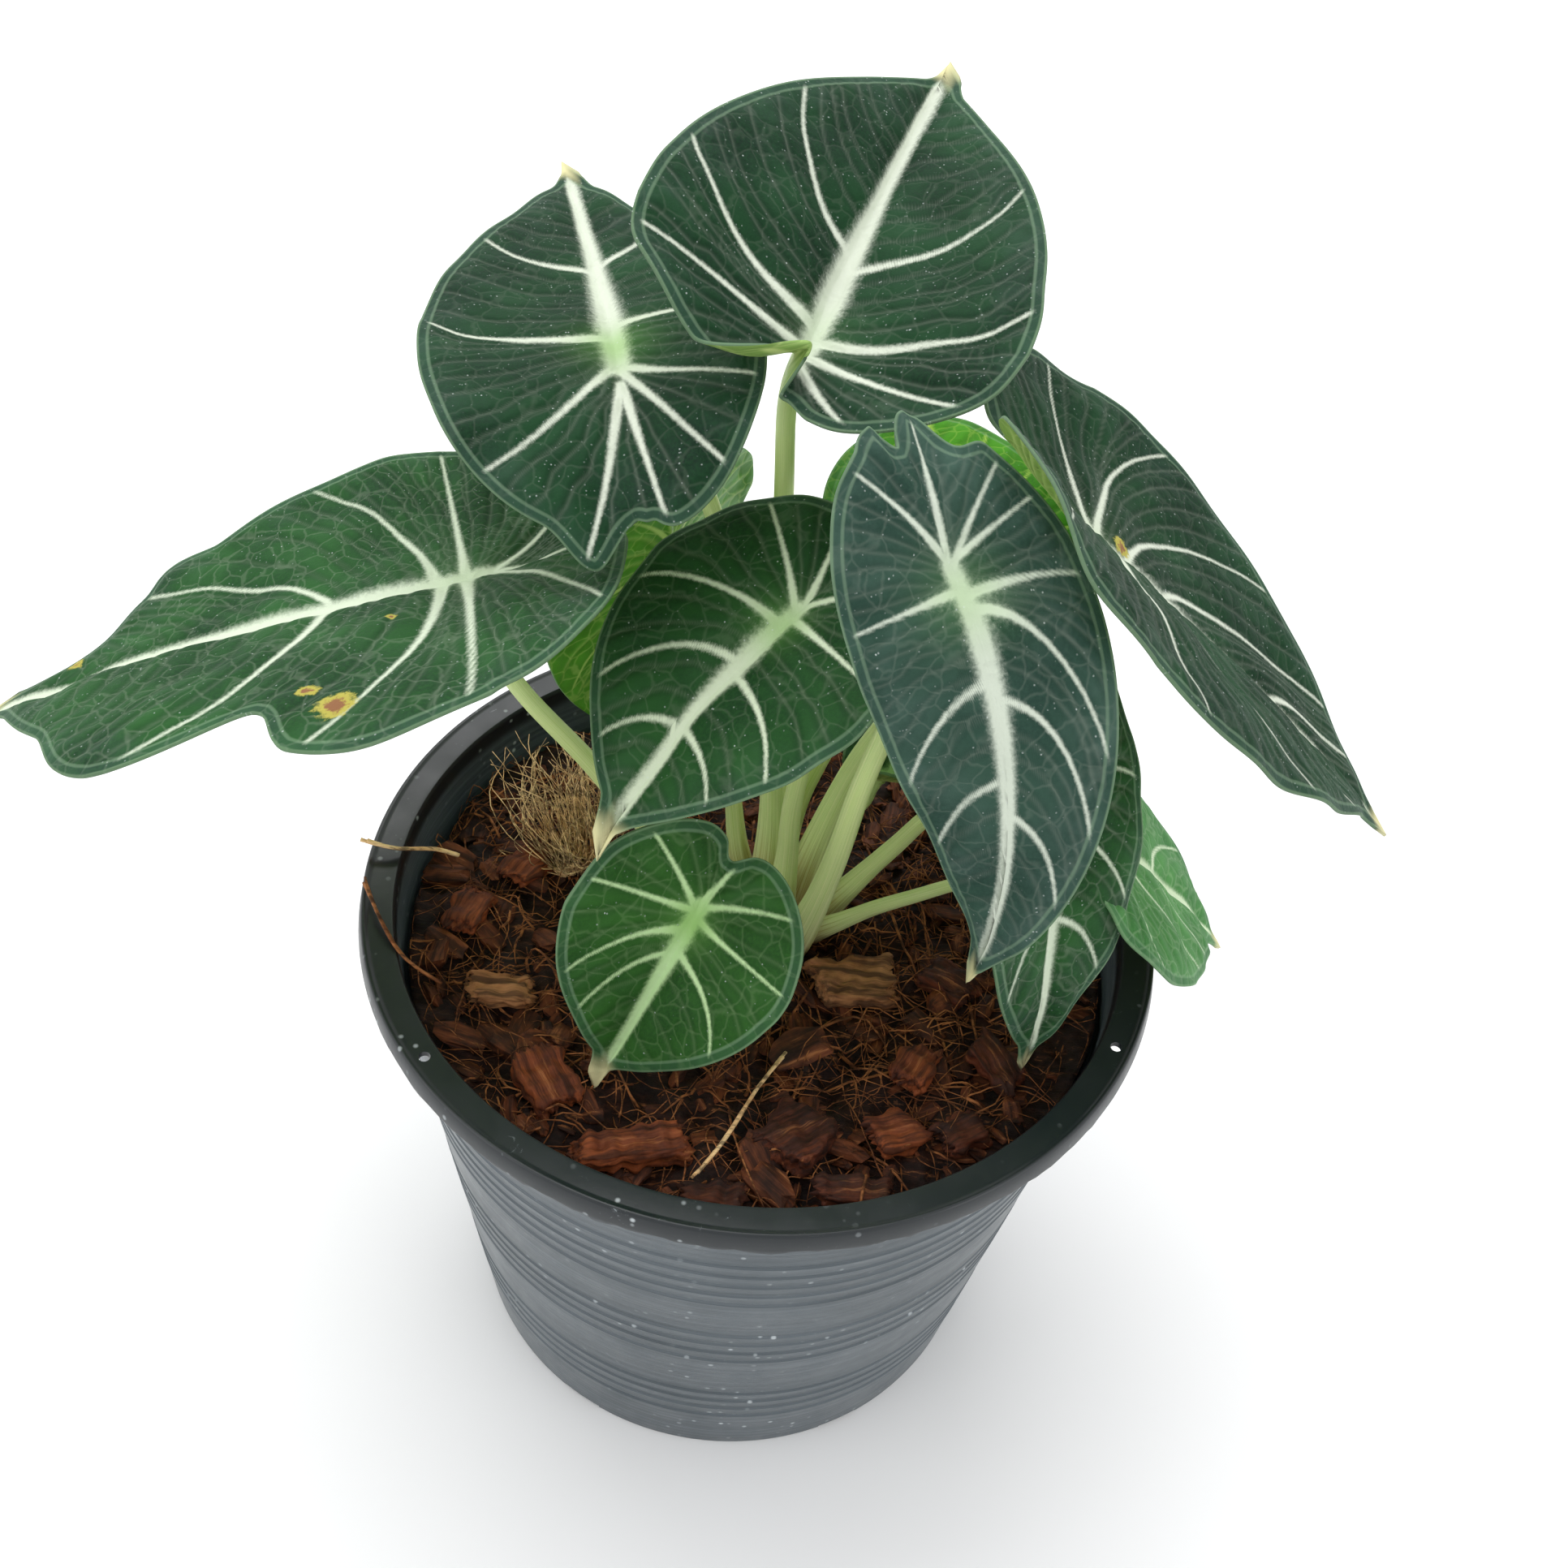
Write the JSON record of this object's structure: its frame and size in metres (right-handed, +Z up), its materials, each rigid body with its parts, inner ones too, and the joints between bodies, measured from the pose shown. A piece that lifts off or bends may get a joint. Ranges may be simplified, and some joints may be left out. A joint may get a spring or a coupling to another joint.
{
  "type": "potted alocasia",
  "caption": "Small dark-leaved alocasia with pale veins, growing in husk mix in a round black plastic nursery pot with a flat rim.",
  "frame": {"origin": "middle of the flat base of the pot, on the surface that it stands on", "axes": "+Z up, out of the pot's mouth; -Y towards the front, where the smallest leaf hangs; +X to the right"},
  "size_m": [0.2531, 0.1743, 0.2426],
  "materials": {
    "velvet_leaf": "velvety dark green blade with cream veins and a grey-green margin",
    "stalk_green": "smooth pale yellow-green, softly glossy",
    "corm_skin": "rough brown papery skin",
    "pot_plastic": "thin black recycled plastic, satin, scuffed",
    "husk_mix": "damp dark coconut husk, rough",
    "husk_chip": "orange-brown fibrous husk, rough",
    "husk_fibre": "tan coconut fibre, dry"
  },
  "bodies": {
    "root": {"nursery_pot": "pot_plastic", "potting_mix": "husk_mix", "corm": "corm_skin", "husk_chip_01": "husk_chip", "husk_chip_02": "husk_chip", "husk_chip_03": "husk_chip", "husk_chip_04": "husk_chip", "husk_chip_05": "husk_chip", "husk_chip_06": "husk_chip", "husk_chip_07": "husk_chip", "husk_chip_08": "husk_chip", "husk_chip_09": "husk_chip", "husk_chip_10": "husk_chip", "husk_chip_11": "husk_chip", "husk_chip_12": "husk_chip", "husk_chip_13": "husk_chip", "husk_chip_14": "husk_chip", "husk_chip_15": "husk_chip", "husk_chip_16": "husk_chip", "twig": "husk_fibre", "rim_stick": "husk_fibre", "rim_fibre": "husk_fibre", "fibre_tuft": "husk_fibre", "leaf_a": "velvet_leaf", "leaf_b": "velvet_leaf", "leaf_c": "velvet_leaf", "leaf_d": "velvet_leaf", "leaf_e": "velvet_leaf", "leaf_f": "velvet_leaf", "leaf_g": "velvet_leaf", "leaf_h": "velvet_leaf", "leaf_i": "velvet_leaf", "leaf_j": "velvet_leaf", "leaf_k": "velvet_leaf", "leaf_l": "velvet_leaf", "stalk_a": "stalk_green", "stalk_b": "stalk_green", "stalk_c": "stalk_green", "stalk_d": "stalk_green", "stalk_e": "stalk_green", "stalk_f": "stalk_green", "stalk_g": "stalk_green", "stalk_h": "stalk_green", "stalk_i": "stalk_green", "stalk_j": "stalk_green", "stalk_k": "stalk_green", "stalk_l": "stalk_green"}
  },
  "joints": []
}
